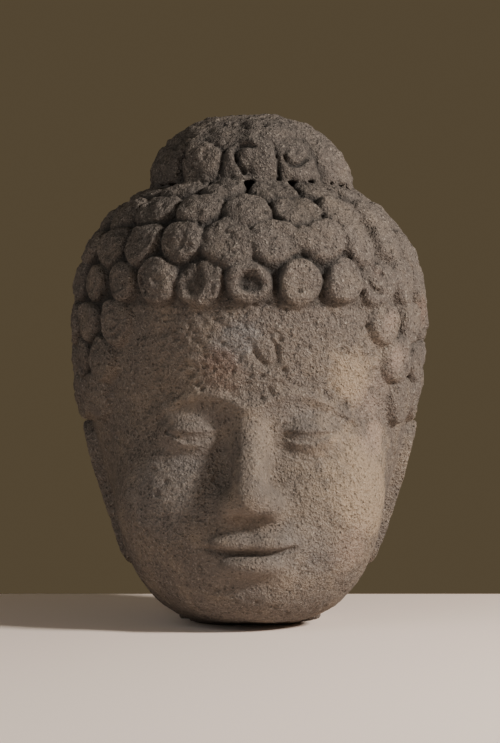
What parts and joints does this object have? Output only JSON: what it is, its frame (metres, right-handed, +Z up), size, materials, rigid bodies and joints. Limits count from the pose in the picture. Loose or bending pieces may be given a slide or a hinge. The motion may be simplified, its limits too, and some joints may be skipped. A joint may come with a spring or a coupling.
{
  "type": "stone buddha head",
  "caption": "Carved volcanic-stone head with snail-shell curls, a hair knot and long ears, cut flat below the chin so that it stands by its own weight.",
  "frame": {"origin": "middle of the head's footprint, on the plane of the flat underside", "axes": "+Z up from the broken neck to the hair knot, -Y the way the face looks, +X to the right as seen from in front"},
  "size_m": [0.2599, 0.2887, 0.369],
  "materials": {
    "stone": "matt pitted volcanic stone, dark grey-brown, worn, paler and greyer where pitted"
  },
  "bodies": {
    "root": {"stone_head": "stone"}
  },
  "joints": []
}
